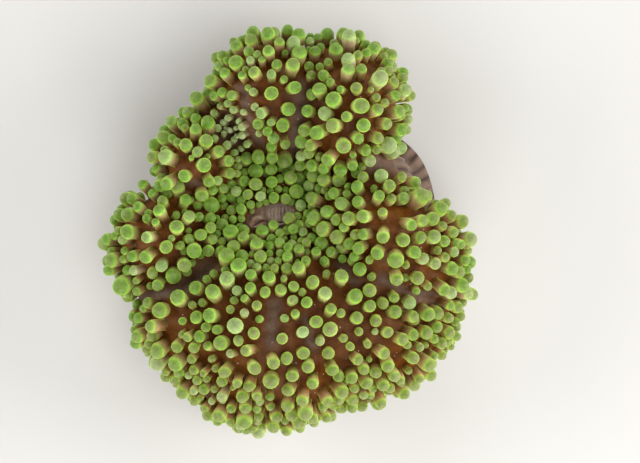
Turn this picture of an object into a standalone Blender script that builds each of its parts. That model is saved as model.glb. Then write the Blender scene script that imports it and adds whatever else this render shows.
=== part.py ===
"""Sea anemone: a small carpet anemone sitting on its foot, as a still life-size model.

Metres, +Z up. The origin is the centre of the foot's flat underside. The mouth lies a little
to one side of it, and every outline is given by how far it reaches from one of these two centres.
"""

import random
from math import atan2, cos, degrees, exp, hypot, log, pi, radians, sin, sqrt

import bmesh
import bpy
from mathutils import Matrix, Vector

MM = 0.001
GAP = 0.3 * MM
SEED = 7

# ---- the disc ---------------------------------------------------------------------------------
MOUTH = Vector((-3.8, -0.2, 0.0)) * MM
MOUTH_HALF_LENGTH = 2.5 * MM
MOUTH_HALF_WIDTH = 1.1 * MM
MOUTH_TURN = radians(14)
MOUTH_SIDES = 24
# The section of the lips, from their underside over the top and into the throat: share of the
# way out from the mouth's middle, and height above the disc in millimetres.
LIP_SECTION = ((0.86, -2.5), (0.9, -0.4), (0.78, 0.35), (0.55, 0.4), (0.32, -0.1), (0.2, -1.6))
DISC_FLESH = 3.0 * MM
PERISTOME_RADIUS = 3.6 * MM
PERISTOME_SLICES = 28
LIP_CLEARANCE = 0.05 * MM
DEGREES_A_SLICE = 6.4
TOP_STEPS = (0.0, 0.18, 0.36, 0.54, 0.72, 0.88, 1.0)
EDGE_STEPS = ((0.2, 0.6), (1.0, 1.0))  # round the edge: inwards and downwards in millimetres
UNDERSIDE_STEPS = (0.6, 0.3, 0.0)

# Lobes of the disc seen from above: centre x, centre y, half width, half depth, in millimetres.
OUTLINE_LOBES = {
    "upper_left": (-4.5, 12.8, 4.3, 4.7),
    "upper_middle": (-0.8, 12.2, 4.4, 4.8),
    "upper_right": (2.9, 10.9, 5.6, 6.0),
    "left_upper": (-9.2, 7.8, 2.8, 3.2),
    "left": (-10.9, 5.2, 3.4, 3.8),
    "west": (-14.4, -3.0, 5.3, 5.4),
    "lower": (-2.1, -7.6, 16.0, 11.9),
    "south": (-4.2, -13.2, 7.3, 7.0),
    "south_left": (-7.5, -15.7, 4.0, 4.3),
    "east": (9.4, -3.8, 5.3, 4.7),
    "notch": (4.8, 3.2, 4.2, 4.0),
}
OUTLINE_BLEND = 0.6 * MM
# Notches in the edge: direction in degrees, share of the reach taken away, half angle.
NOTCHES = {
    "upper_left": (114, 0.07, 6),
    "left": (164, 0.06, 6),
    "lower_left": (217, 0.06, 5),
    "lower": (291, 0.05, 4),
}

# Humps of the disc: centre x, centre y, half width, half depth, height, in millimetres.
HUMPS = {
    "upper_right": (4.8, 11.4, 8.0, 9.0, 15.8),
    "upper_left": (-4.0, 13.4, 7.5, 8.5, 14.6),
    "left": (-12.0, 5.6, 6.5, 6.0, 12.8),
    "west": (-14.8, -3.0, 9.0, 8.5, 12.8),
    "lower": (-2.4, -13.2, 19.0, 14.0, 15.8),
    "east": (8.8, -2.2, 11.0, 10.0, 15.0),
    "mouth": (-3.8, -0.2, 7.0, 7.0, 11.6),
}
HUMP_BLEND = 0.8 * MM
HUMP_FALL = 0.45
# Smaller swells and hollows on top of them: x, y, radius, height added, in millimetres.
SWELLS = {
    "bowl": (-3.8, -0.2, 3.4, -1.4),
    "left": (-12.3, 5.5, 2.4, 1.5),
    "left_fold": (-8.2, 8.8, 2.4, -0.8),
    "west": (-15.2, -2.0, 2.3, 1.3),
    "west_fold": (-12.0, -6.2, 3.0, -0.7),
    "south_west": (-13.4, -10.4, 2.3, 1.2),
    "south_middle": (-5.6, -14.6, 2.6, 0.8),
    "south": (0.2, -16.8, 2.0, 1.4),
    "south_east": (7.6, -12.2, 2.6, 1.0),
    "east_fold": (3.6, -3.4, 2.2, -1.0),
    "east": (7.4, -0.4, 3.0, 1.4),
    "east_outer": (12.6, -5.6, 2.4, 0.9),
    "upper_fold": (-0.8, 2.6, 2.0, -0.9),
    "upper_right": (5.4, 11.8, 3.0, 1.0),
    "upper_inner": (3.4, 6.6, 2.4, 0.9),
}
# Furrows that carry no tentacles: from x, y to x, y, half width, in millimetres.
FURROWS = {
    "upper": (-0.8, 12.6, -1.5, 5.7, 1.0),
    "left_band": (-6.8, 12.6, -5.1, 7.2, 0.65),
    "left_lower": (-9.4, 8.2, -7.4, 6.6, 0.5),
    "west": (-9.8, -5.2, -12.6, -7.4, 1.2),
    "west_outer": (-12.6, -7.4, -17.2, -8.2, 0.65),
    "south": (-3.5, -8.6, -3.8, -13.0, 0.8),
    "south_middle": (-0.5, -9.9, 0.3, -13.0, 0.5),
    "east_inner": (2.8, -4.8, 4.7, -6.5, 0.45),
    "east": (7.0, -6.3, 13.0, -9.3, 0.55),
    "notch": (6.6, 4.9, 10.2, 5.2, 1.3),
}

RIM_HEIGHT = 6.8 * MM
RIM_WAVE = 0.45 * MM
RIM_LIFTS = {"notch": (24, 3.4, 16), "left": (164, 1.2, 14), "upper_left": (121, 1.6, 14)}
EDGE_POWER = 0.5
LEAST_CROWN = 2 * MM

# ---- the column and the foot --------------------------------------------------------------------
COLUMN_DROP = 1.0 * MM
COLUMN_INSET = 1.9 * MM
COLUMN_RISES = (0.0, 0.2, 0.45, 0.7, 0.88, 1.0)
FOOT_RADIUS = 10.9 * MM
FOOT_STRETCH = 1.9 * MM
FOOT_STRETCH_TOWARDS = radians(22)
FOOT_WAVE = 0.3 * MM
FOOT_THICK = 1.2 * MM
FOOT_SECTION = ((0.0, -0.05), (0.4, 0.3), (1.2, -0.05))  # height, and how far out, in millimetres
FOOT_SIDES = 48
WAIST = 0.84
WAIST_ENDS_AT = 0.77  # share of the wall's height
FLARE_POWER = 2.4

# ---- the tentacles ------------------------------------------------------------------------------
ROWS = 96
ROW_STARTS = {0: 2.2 * MM, 2: 5.2 * MM, 1: 10.4 * MM, 3: 10.4 * MM}
ROW_SWAY = 0.35 * MM
BEAD_NEAR = 0.60 * MM
BEAD_FAR = 0.68 * MM
BEAD_GROWS_OVER = 8.0 * MM
BEAD_SHARES = (0.85, 0.95, 1.0, 1.1, 1.2)
SPACING = 2.5  # in bead radii
STALK_NEAR = 0.8 * MM
STALK_FAR = 0.95 * MM
LEAN_OUT = 0.26
LEAN_TURNS_AT = 0.42
LEAN_TURNS_OVER = 0.3
LEAN_UP_NEAR = 0.45
LEAN_UP_FAR = 0.95
SIDES = 6
STALK_WIDTH = 0.75  # at the root, in bead radii
TIP_HEIGHT = 0.8  # above the bead's middle, in bead radii
ROOT_DEPTH = 0.85 * MM
RIM_TENTACLES = 72
RIM_TILTS = (0.2, 1.0)
RIM_TURN = 0.03  # half the arc, in radians, over which the edge's own direction is measured
RIM_BEADS = (0.55 * MM, 0.72 * MM)
RIM_STALK = 0.6 * MM
RIM_SHARE = 0.97
BARE_RIM = (17, 14)  # direction and half angle in degrees
CLEARANCE = 1.02  # least distance between two tentacles, in the sum of their beads' radii

# The tentacles that stand out by size or place: x, y and bead radius, in millimetres.
LANDMARKS = {
    "notch_giant": (6.9, 7.0, 0.98),
    "notch_single": (6.9, 3.6, 0.76),
    "upper_right_outer": (6.2, 12.6, 0.95),
    "upper_right_inner": (4.6, 10.6, 0.92),
    "upper_left": (-6.8, 14.6, 0.85),
    "left_oval": (-10.2, 1.2, 0.9),
    "left_outer": (-13.2, 5.4, 0.85),
    "left_inner": (-10.8, 5.0, 0.78),
    "west_giant": (-17.8, -6.3, 1.1),
    "west_outer": (-17.0, -1.8, 0.85),
    "west_inner": (-11.6, -3.2, 0.85),
    "south_west": (-14.2, -9.4, 0.9),
    "south": (-3.8, -15.6, 0.9),
    "mouth_upper": (-0.6, 4.0, 0.85),
    "mouth_right": (1.2, -0.6, 0.78),
}

# ---- the nodes ----------------------------------------------------------------------------------
# Lobes of the disc, parted along its furrows: first and last direction from the mouth, degrees.
SECTORS = {
    "lobe_upper_right": (27, 77),
    "lobe_upper_left": (77, 122),
    "lobe_left": (122, 157),
    "lobe_west": (157, 220),
    "lobe_lower": (220, 291),
    "lobe_lower_right": (291, 338),
    "lobe_right": (338, 387),
}

COLOURS = {
    "disc": ((0.16, 0.07, 0.05), 0.45),
    "lobe": ((0.20, 0.36, 0.09), 0.4),
    "mouth": ((0.33, 0.20, 0.18), 0.4),
    "column": ((0.24, 0.14, 0.12), 0.55),
    "foot": ((0.30, 0.20, 0.16), 0.6),
}


def turn_between(angle, other):
    """Signed turn in degrees from other to angle, between -180 and 180."""
    return (angle - other + 180) % 360 - 180


def bump(offset, half):
    return exp(-((offset / half) ** 2))


def blend_max(values, blend):
    """The largest of the values, with a soft change from one to the next."""
    top = max(values)
    return top + blend * log(sum(exp((value - top) / blend) for value in values))


# ---- outlines -----------------------------------------------------------------------------------
def reach_of_ellipse(direction, lobe):
    """How far from the mouth the far side of one lobe lies, or None where it isn't met."""
    centre_x, centre_y, half_x, half_y = (value * MM for value in lobe)
    from_x = (MOUTH.x - centre_x) / half_x
    from_y = (MOUTH.y - centre_y) / half_y
    along_x, along_y = cos(direction) / half_x, sin(direction) / half_y
    square = along_x**2 + along_y**2
    middle = from_x * along_x + from_y * along_y
    under_root = middle**2 - square * (from_x**2 + from_y**2 - 1)
    if under_root <= 0:
        return None
    far = (-middle + sqrt(under_root)) / square
    return far if far > 0 else None


def disc_reach(direction):
    """Distance from the mouth to the disc's edge."""
    met = [reach_of_ellipse(direction, lobe) for lobe in OUTLINE_LOBES.values()]
    reach = blend_max([far for far in met if far], OUTLINE_BLEND)
    for towards, depth, half in NOTCHES.values():
        reach *= 1 - depth * bump(turn_between(degrees(direction), towards), half)
    return reach


def mouth_reach(direction):
    """Distance from the mouth's centre to the outside of its lips."""
    angle = direction - MOUTH_TURN
    return 1 / hypot(cos(angle) / MOUTH_HALF_LENGTH, sin(angle) / MOUTH_HALF_WIDTH)


def foot_reach(direction):
    """Distance from the origin to the edge of the foot."""
    stretch = FOOT_STRETCH * cos(direction - FOOT_STRETCH_TOWARDS)
    waves = sin(3 * direction + 1) + 0.6 * sin(7 * direction) + 0.4 * sin(11 * direction + 2)
    return FOOT_RADIUS + stretch + FOOT_WAVE * waves


# ---- the disc's upper surface -------------------------------------------------------------------
def in_furrow(x, y):
    """Whether a place lies in one of the bare furrows."""
    for start_x, start_y, end_x, end_y, half in FURROWS.values():
        along_x, along_y = (end_x - start_x) * MM, (end_y - start_y) * MM
        from_x, from_y = x - start_x * MM, y - start_y * MM
        share = (from_x * along_x + from_y * along_y) / (along_x**2 + along_y**2)
        share = max(0.0, min(1.0, share))
        if hypot(from_x - share * along_x, from_y - share * along_y) < half * MM:
            return True
    return False


def hump_height(x, y):
    heights = []
    for centre_x, centre_y, half_x, half_y, height in HUMPS.values():
        away = ((x / MM - centre_x) / half_x) ** 2 + ((y / MM - centre_y) / half_y) ** 2
        heights.append(height * MM * (1 - HUMP_FALL * away))
    height = blend_max(heights, HUMP_BLEND)
    for swell_x, swell_y, radius, added in SWELLS.values():
        height += added * MM * bump(hypot(x / MM - swell_x, y / MM - swell_y), radius)
    return height


def rim_height(direction):
    height = RIM_HEIGHT + RIM_WAVE * (sin(5 * direction) + 0.7 * sin(9 * direction + 1))
    for towards, lift, half in RIM_LIFTS.values():
        height += lift * MM * bump(turn_between(degrees(direction), towards), half)
    return height


def disc_point(direction, share, lowered=0.0):
    """A point of the disc: share 0 at the mouth's lips, 1 at the edge; lowered by a depth."""
    near, far = mouth_reach(direction), disc_reach(direction)
    radius = near + (far - near) * sin(share * pi / 2)
    x = MOUTH.x + radius * cos(direction)
    y = MOUTH.y + radius * sin(direction)
    rim = rim_height(direction)
    crown = hump_height(x, y)
    crown += max(0.0, rim + LEAST_CROWN - crown) * share**2
    return Vector((x, y, rim + (crown - rim) * cos(share * pi / 2) ** EDGE_POWER - lowered))


def share_at(direction, radius):
    """The share of the way from the lips to the edge at which the disc has this radius."""
    near, far = mouth_reach(direction), disc_reach(direction)
    part = max(0.0, min(1.0, (radius - near) / (far - near)))
    return atan2(part, sqrt(1 - part**2)) / (pi / 2)


def disc_at(x, y):
    """The disc's surface point over x, y."""
    direction = atan2(y - MOUTH.y, x - MOUTH.x)
    return disc_point(direction, share_at(direction, hypot(x - MOUTH.x, y - MOUTH.y)))


def disc_normal(x, y, step=0.25 * MM):
    along_x = disc_at(x + step, y) - disc_at(x - step, y)
    along_y = disc_at(x, y + step) - disc_at(x, y - step)
    return along_x.cross(along_y).normalized()


# ---- meshes -------------------------------------------------------------------------------------
def directions(count):
    return [2 * pi * index / count for index in range(count)]


def loft(name, rings, joined=False):
    """A closed skin over a list of rings of points, capped at both ends or joined end to end."""
    mesh = bmesh.new()
    loops = [[mesh.verts.new(point) for point in ring] for ring in rings]
    pairs = list(zip(loops, loops[1:]))
    if joined:
        pairs.append((loops[-1], loops[0]))
    else:
        mesh.faces.new(loops[0][::-1])
        mesh.faces.new(loops[-1])
    for one, two in pairs:
        for here in range(len(one)):
            after = (here + 1) % len(one)
            mesh.faces.new((one[here], one[after], two[after], two[here]))
    bmesh.ops.triangulate(mesh, faces=mesh.faces[:])
    bmesh.ops.recalc_face_normals(mesh, faces=mesh.faces[:])
    data = bpy.data.meshes.new(name)
    mesh.to_mesh(data)
    mesh.free()
    data.shade_smooth()
    return data


def slice_directions(first, last):
    """Evenly spaced directions in radians over one lobe, both of its sides included."""
    count = max(3, round((last - first) / DEGREES_A_SLICE))
    return [radians(first + (last - first) * index / count) for index in range(count + 1)]


def round_directions():
    """The slices of every lobe in turn, once round the mouth."""
    found = []
    for first, last in SECTORS.values():
        found += slice_directions(first, last)[:-1]
    return found


def disc_section(direction, inner, outer=None, sideways=0.0):
    """An upright slice through the disc's flesh, from the radius inner to outer or to the edge."""
    first = share_at(direction, inner)
    last = share_at(direction, outer) if outer else 1.0
    towards = Vector((cos(direction), sin(direction), 0))
    points = [disc_point(direction, first + (last - first) * step) for step in TOP_STEPS]
    if not outer:
        edge = points[-1]
        for inwards, downwards in EDGE_STEPS:
            points.append(edge - (towards * inwards + Vector((0, 0, downwards))) * MM)
    for step in UNDERSIDE_STEPS if not outer else (1.0, 0.0):
        points.append(disc_point(direction, first + (last - first) * step, DISC_FLESH))
    across = Vector((-sin(direction), cos(direction), 0))
    return [point + across * sideways for point in points]


def lobe_mesh(name, first, last):
    """One lobe: slices from one side to the other, half a gap in from each neighbour."""
    slices = slice_directions(first, last)
    sections = []
    for index, direction in enumerate(slices):
        sideways = {0: GAP / 2, len(slices) - 1: -GAP / 2}.get(index, 0.0)
        sections.append(disc_section(direction, PERISTOME_RADIUS + GAP / 2, None, sideways))
    return loft(name, sections)


def peristome_mesh():
    """The bare ring of the disc next to the lips."""
    sections = []
    for direction in directions(PERISTOME_SLICES):
        inner = mouth_reach(direction) + LIP_CLEARANCE
        sections.append(disc_section(direction, inner, PERISTOME_RADIUS - GAP / 2))
    return loft("peristome", sections, joined=True)


def column_wall_point(direction, rise):
    """A point of the column's wall: rise 0 on the foot, 1 under the disc's edge."""
    bottom = FOOT_THICK + GAP
    top = disc_reach(direction) - COLUMN_INSET
    waist = foot_reach(direction) * (1 - (1 - WAIST) * sin(pi * min(1, rise / WAIST_ENDS_AT)))
    share = rise**FLARE_POWER
    radius = waist + (top - waist) * share
    height = bottom + (rim_height(direction) - COLUMN_INSET - bottom) * rise
    around = Vector((radius * cos(direction), radius * sin(direction), height))
    return MOUTH * share + around


def column_mesh():
    """The column: from the foot up a waist, out to the disc's edge, and in under the disc."""
    slices = round_directions()
    rings = []
    for rise in COLUMN_RISES:
        rings.append([column_wall_point(direction, rise) for direction in slices])
    for step in UNDERSIDE_STEPS:
        ring = []
        for direction in slices:
            first = share_at(direction, PERISTOME_RADIUS)
            ring.append(disc_point(direction, first + (1 - first) * step, DISC_FLESH + COLUMN_DROP))
        rings.append(ring)
    rings.append([disc_point(direction, 0.0, DISC_FLESH + COLUMN_DROP) for direction in slices])
    return loft("column", rings)


def foot_mesh():
    rings = []
    for height, outwards in FOOT_SECTION:
        ring = []
        for direction in directions(FOOT_SIDES):
            radius = foot_reach(direction) + outwards * MM
            ring.append(Vector((radius * cos(direction), radius * sin(direction), height * MM)))
        rings.append(ring)
    return loft("foot", rings)


def mouth_mesh():
    """The lips: low walls round the slit, closed at the throat's floor."""
    top = disc_point(MOUTH_TURN, 0.0).z
    rings = []
    for share, height in LIP_SECTION:
        ring = []
        for direction in directions(MOUTH_SIDES):
            radius = mouth_reach(direction) * share
            place = Vector((radius * cos(direction), radius * sin(direction), 0))
            ring.append(MOUTH + place + Vector((0, 0, top + height * MM)))
        rings.append(ring)
    return loft("mouth", rings)


# ---- tentacles ----------------------------------------------------------------------------------
class Tentacle:
    """A root on the disc, the way it points, how far up the bead's middle is, and its radius."""

    def __init__(self, root, lean, stalk, bead):
        self.root, self.lean = root, lean.normalized()
        self.length, self.bead = stalk + bead, bead

    def middle(self, share):
        return self.root + self.lean * self.length * share


def bead_radius(radius, chance):
    grown = min(1.0, max(0.0, radius / BEAD_GROWS_OVER))
    return (BEAD_NEAR + (BEAD_FAR - BEAD_NEAR) * grown) * chance.choice(BEAD_SHARES)


def row_places():
    """Places along the rows that radiate from the mouth; later rows start farther out."""
    chance = random.Random(SEED)
    places = []
    for row in range(ROWS):
        direction = 2 * pi * row / ROWS
        radius = mouth_reach(direction) + ROW_STARTS[row % 4] - ROW_STARTS[0]
        while radius < disc_reach(direction):
            sway = chance.gauss(0, ROW_SWAY) / max(radius, PERISTOME_RADIUS)
            bead = bead_radius(radius, chance)
            x = MOUTH.x + radius * cos(direction + sway)
            y = MOUTH.y + radius * sin(direction + sway)
            places.append((x, y, bead))
            radius += 2 * bead
    return places


def roots():
    """Where tentacles stand: the landmarks, and the row places that leave room between them."""
    kept = [(x * MM, y * MM, bead * MM) for x, y, bead in LANDMARKS.values()]
    for x, y, bead in sorted(row_places(), key=lambda place: -place[2]):
        room = all(hypot(x - other_x, y - other_y) > SPACING * (bead + other_bead) / 2
                   for other_x, other_y, other_bead in kept)
        if room and not in_furrow(x, y):
            kept.append((x, y, bead))
    return kept


def disc_tentacle(x, y, bead):
    """It leans towards the mouth on the inner slopes, and away from it on the outer ones."""
    away = Vector((x - MOUTH.x, y - MOUTH.y, 0))
    direction = atan2(away.y, away.x)
    share = share_at(direction, away.length)
    outwards = LEAN_OUT * max(-1.0, min(1.0, (share - LEAN_TURNS_AT) / LEAN_TURNS_OVER))
    upwards = LEAN_UP_NEAR + (LEAN_UP_FAR - LEAN_UP_NEAR) * share**3
    lean = disc_normal(x, y) + outwards * away.normalized() + upwards * Vector((0, 0, 1))
    return Tentacle(disc_at(x, y), lean, STALK_NEAR + (STALK_FAR - STALK_NEAR) * share, bead)


def rim_tentacles():
    """Tentacles that stand out from the disc's edge."""
    chance = random.Random(SEED + 1)
    found = []
    for direction in directions(RIM_TENTACLES):
        if abs(turn_between(degrees(direction), BARE_RIM[0])) < BARE_RIM[1]:
            continue
        before, after = direction - RIM_TURN, direction + RIM_TURN
        along = disc_point(after, 1.0) - disc_point(before, 1.0)
        lean = Vector((along.y, -along.x, 0)).normalized()
        lean.z = chance.uniform(*RIM_TILTS)
        bead = chance.uniform(*RIM_BEADS)
        found.append(Tentacle(disc_point(direction, RIM_SHARE), lean, RIM_STALK, bead))
    return found


def far_apart(one, other):
    """Whether two tentacles stay clear of each other all along."""
    least = CLEARANCE * (one.bead + other.bead)
    return all((one.middle(share) - other.middle(other_share)).length > least
               for share in (0.0, 0.5, 1.0) for other_share in (0.0, 0.5, 1.0))


def thinned(tentacles):
    """The tentacles in order, without those that would touch one kept before them."""
    kept = []
    for one in tentacles:
        if all(far_apart(one, other) for other in kept):
            kept.append(one)
    return kept


def add_tentacle(mesh, one):
    """A stalk that widens up to its bead's middle, rooted in the flesh, with a low point on top."""
    depth = ROOT_DEPTH + one.length
    turned = one.lean.to_track_quat("Z", "Y").to_matrix().to_4x4()
    centred = Matrix.Translation(one.root + one.lean * (one.length - depth / 2)) @ turned
    stalk = bmesh.ops.create_cone(mesh, cap_ends=True, segments=SIDES, depth=depth, matrix=centred,
                                  radius1=STALK_WIDTH * one.bead, radius2=one.bead)
    faces = {face for corner in stalk["verts"] for face in corner.link_faces}
    top = max(faces, key=lambda face: face.calc_center_median().dot(one.lean))
    bmesh.ops.poke(mesh, faces=[top], offset=TIP_HEIGHT * one.bead)


def tentacle_mesh(name, tentacles):
    mesh = bmesh.new()
    for one in tentacles:
        add_tentacle(mesh, one)
    data = bpy.data.meshes.new(name)
    mesh.to_mesh(data)
    mesh.free()
    data.shade_smooth()
    return data


# ---- objects ------------------------------------------------------------------------------------
def clear_scene():
    for thing in list(bpy.data.objects):
        bpy.data.objects.remove(thing, do_unlink=True)


def collection_named(name):
    made = bpy.data.collections.new(name)
    bpy.context.scene.collection.children.link(made)
    return made


def material_named(name):
    colour, roughness = COLOURS[name]
    made = bpy.data.materials.new(name)
    made.use_nodes = True
    shader = made.node_tree.nodes["Principled BSDF"]
    shader.inputs["Base Color"].default_value = (*colour, 1)
    shader.inputs["Roughness"].default_value = roughness
    return made


def place(name, data, collection, material=None):
    made = bpy.data.objects.new(name, data)
    collection.objects.link(made)
    if material:
        data.materials.append(material)
    return made


def place_cutter(name, data, collection):
    made = place(name, data, collection)
    made.hide_render = True
    made.display_type = "WIRE"
    return made


def add_boolean(thing, operation, other):
    cut = thing.modifiers.new(operation.lower(), "BOOLEAN")
    cut.operation = operation
    cut.solver = "EXACT"
    cut.object = other


def in_sector(point, first, last, clearance):
    offset = point - MOUTH
    angle = degrees(atan2(offset.y, offset.x))
    middle, half = (first + last) / 2, (last - first) / 2
    off = abs(turn_between(angle, middle))
    if off >= half:
        return False
    from_side = radians(half - off) * hypot(offset.x, offset.y)
    return from_side > clearance


def stays_in(tentacle, first, last):
    """Whether the whole tentacle stands clear of the sector's sides and of the peristome."""
    clearance = tentacle.bead + GAP
    if not all(in_sector(tentacle.middle(share), first, last, clearance) for share in (0.0, 1.0)):
        return False
    return (tentacle.root - MOUTH).xy.length > PERISTOME_RADIUS + clearance


def main():
    clear_scene()
    parts = collection_named("sea_anemone")
    cutters = collection_named("cutters")
    materials = {name: material_named(name) for name in COLOURS}

    place("pedal_disc", foot_mesh(), parts, materials["foot"])
    place("column", column_mesh(), parts, materials["column"])
    place("mouth", mouth_mesh(), parts, materials["mouth"])
    place("peristome", peristome_mesh(), parts, materials["disc"])

    tentacles = thinned([disc_tentacle(*root) for root in roots()] + rim_tentacles())
    for name, (first, last) in SECTORS.items():
        lobe = place(name, lobe_mesh(name, first, last), parts, materials["lobe"])
        own = [one for one in tentacles if stays_in(one, first, last)]
        grown = place_cutter(f"{name}_tentacles", tentacle_mesh(name, own), cutters)
        add_boolean(lobe, "UNION", grown)
        print(name, len(own), "tentacles")


main()
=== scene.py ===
# %% [markdown]
# # A small carpet anemone
#
# The animal is a soft cushion on a short column. Its top, the disc, is folded into lobes and
# closely set with short tentacles that end in round beads. This notebook rebuilds it around a frame
# of plain solids, at life size, in metres.
#
# It goes from the large to the small: the outlines and humps of the disc, the places where
# tentacles stand, one continuous skin, one tentacle, all of them, and last the finishes and the
# studio.

# %% Load the frame
import random
from math import atan2, cos, degrees, exp, hypot, log, pi, radians, sin, sqrt

import bmesh
import bpy
from mathutils import Matrix, Vector, kdtree, noise


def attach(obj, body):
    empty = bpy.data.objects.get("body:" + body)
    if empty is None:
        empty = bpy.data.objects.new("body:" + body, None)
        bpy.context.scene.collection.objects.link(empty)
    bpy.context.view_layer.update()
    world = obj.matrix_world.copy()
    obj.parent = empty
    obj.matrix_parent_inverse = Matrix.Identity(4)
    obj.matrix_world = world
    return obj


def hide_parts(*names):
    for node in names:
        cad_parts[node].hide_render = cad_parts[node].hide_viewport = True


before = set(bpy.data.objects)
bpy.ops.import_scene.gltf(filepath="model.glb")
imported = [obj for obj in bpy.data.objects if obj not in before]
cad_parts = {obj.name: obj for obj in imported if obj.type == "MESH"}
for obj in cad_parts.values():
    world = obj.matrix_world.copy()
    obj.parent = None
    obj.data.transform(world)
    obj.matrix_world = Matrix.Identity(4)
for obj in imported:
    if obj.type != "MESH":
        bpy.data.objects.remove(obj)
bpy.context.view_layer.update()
MM = 0.001
print("nodes in the frame:", len(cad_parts))

# %% [markdown]
# ## Outlines
#
# Seen from above the disc is a ring of lobes. A soft body like this could be drawn as one long list
# of points, but it is easier to change when each lobe is an ellipse with a name. From the mouth,
# the edge of the disc lies at the far side of whichever ellipse reaches farthest, with a soft blend
# where two of them meet. The same idea, a sum of a few named shapes, gives the humps and furrows.

# %% Named sizes of the disc, in millimetres
MOUTH = Vector((-3.8, -0.2, 0.0)) * MM
MOUTH_HALF_LENGTH = 2.5 * MM
MOUTH_HALF_WIDTH = 1.1 * MM
MOUTH_TURN = radians(14)

OUTLINE_LOBES = {  # centre x, centre y, half width, half depth
    "upper_left": (-4.5, 12.5, 4.3, 4.6),
    "upper_middle": (-0.8, 12.2, 4.4, 4.6),
    "upper_right": (2.9, 10.9, 5.6, 6.0),
    "upper_left_fold": (-7.6, 10.6, 1.9, 1.9),
    "left_upper": (-9.2, 7.8, 2.8, 3.2),
    "left": (-10.9, 5.2, 3.4, 3.8),
    "west": (-14.0, -3.1, 5.1, 5.3),
    "lower": (-1.5, -7.5, 16.0, 11.6),
    "south": (-4.0, -13.2, 7.3, 7.0),
    "south_left": (-7.3, -15.5, 3.9, 4.2),
    "east": (9.4, -3.8, 5.3, 4.7),
    "notch": (4.8, 3.2, 4.2, 4.0),
}
NOTCHES = {  # direction in degrees, share of the reach taken away, half angle
    "upper_left": (114, 0.03, 5),
    "left": (164, 0.06, 6),
    "lower_left": (217, 0.06, 5),
    "lower": (291, 0.05, 4),
}
HUMPS = {  # centre x, centre y, half width, half depth, height
    "upper_right": (4.8, 11.4, 8.0, 9.0, 15.8),
    "upper_left": (-4.0, 13.4, 7.5, 8.5, 14.6),
    "left": (-12.0, 5.6, 6.5, 6.0, 12.8),
    "west": (-14.8, -3.0, 9.0, 8.5, 12.8),
    "lower": (-2.4, -13.2, 19.0, 14.0, 15.8),
    "east": (8.8, -2.2, 11.0, 10.0, 15.0),
    "mouth": (-3.8, -0.2, 7.0, 7.0, 11.6),
}
SWELLS = {  # x, y, radius, height added
    "bowl": (-3.8, -0.2, 3.4, -1.4),
    "left": (-12.3, 5.5, 2.4, 1.5),
    "left_fold": (-8.2, 8.8, 2.4, -0.8),
    "west": (-15.2, -2.0, 2.3, 1.3),
    "west_fold": (-12.0, -6.2, 3.0, -0.7),
    "south_west": (-13.4, -10.4, 2.3, 1.2),
    "south_middle": (-5.6, -14.6, 2.6, 0.8),
    "south": (0.2, -16.8, 2.0, 1.4),
    "south_east": (7.6, -12.2, 2.6, 1.0),
    "east_fold": (3.6, -3.4, 2.2, -1.0),
    "east": (7.4, -0.4, 3.0, 1.4),
    "east_outer": (12.6, -5.6, 2.4, 0.9),
    "upper_fold": (-0.8, 2.6, 2.0, -0.9),
    "upper_right": (5.4, 11.8, 3.0, 1.0),
    "upper_inner": (3.4, 6.6, 2.4, 0.9),
}
FURROWS = {  # bare lines: from x, y to x, y, half width
    "upper": (-0.8, 12.6, -1.5, 5.7, 1.0),
    "left_band": (-6.8, 12.6, -5.1, 7.2, 0.65),
    "left": (-12.5, 3.3, -9.8, 2.9, 0.5),
    "left_lower": (-9.4, 8.2, -7.4, 6.6, 0.5),
    "west": (-9.8, -5.2, -12.6, -7.4, 1.2),
    "west_outer": (-12.6, -7.4, -17.2, -8.2, 0.65),
    "south": (-3.5, -8.6, -3.8, -13.0, 0.8),
    "south_middle": (-0.5, -9.9, 0.3, -13.0, 0.5),
    "east_inner": (2.8, -4.8, 4.7, -6.5, 0.45),
    "east": (7.0, -6.3, 13.0, -9.3, 0.55),
    "east_outer": (9.7, -7.6, 14.6, -8.1, 0.45),
    "notch": (6.6, 4.9, 10.2, 5.2, 1.3),
}
BARE_SPOTS = {  # x, y, radius
    "left": (-12.2, 5.3, 0.6),
    "south_west": (-13.3, -10.6, 0.8),
    "west": (-16.3, -1.6, 1.1),
    "south": (0.3, -16.9, 0.65),
    "upper": (-0.8, 2.4, 0.5),
    "mouth_fold": (-5.5, -1.6, 1.1),
}
RIM_HEIGHT = 6.8 * MM
RIM_WAVE = 0.45 * MM
RIM_WAVES = ((5, 1.0, 0), (9, 0.7, 1))
RIM_LIFTS = {  # direction in degrees, height added, half angle
    "notch": (24, 3.4, 16),
    "left": (164, 1.2, 14),
    "upper_left": (121, 1.6, 14),
}
print(len(OUTLINE_LOBES), "lobes,", len(HUMPS), "humps,", len(SWELLS), "swells,",
      len(FURROWS), "furrows")


# %% Small helpers for soft shapes
def turn_between(angle, other):
    """Signed turn in degrees from other to angle, between -180 and 180."""
    return (angle - other + 180) % 360 - 180


def bump(offset, half):
    """1 at no offset, falling softly to about a third at the half width."""
    return exp(-((offset / half) ** 2))


def bump_round(x, y, spot_x, spot_y, radius):
    """A bump round a spot in millimetres, at a place in metres."""
    return bump(hypot(x / MM - spot_x, y / MM - spot_y), radius)


def step_up(distance, width):
    """0 well before distance 0, 1 well after it, and a half there."""
    return 1 / (1 + exp(-max(-60, min(60, distance / width))))


def blend_max(values, blend):
    """The largest of the values, with a soft change from one to the next."""
    top = max(values)
    return top + blend * log(sum(exp((value - top) / blend) for value in values))


def waves_at(direction, waves):
    """A sum of waves round the animal; each is how many, how high and how far turned."""
    return sum(high * sin(many * direction + turned) for many, high, turned in waves)


def polar(direction, radius, height=0.0):
    return Vector((radius * cos(direction), radius * sin(direction), height))


def from_mouth(place):
    """How far a place lies from the middle of the mouth, seen from above."""
    return hypot(place.x - MOUTH.x, place.y - MOUTH.y)


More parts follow.
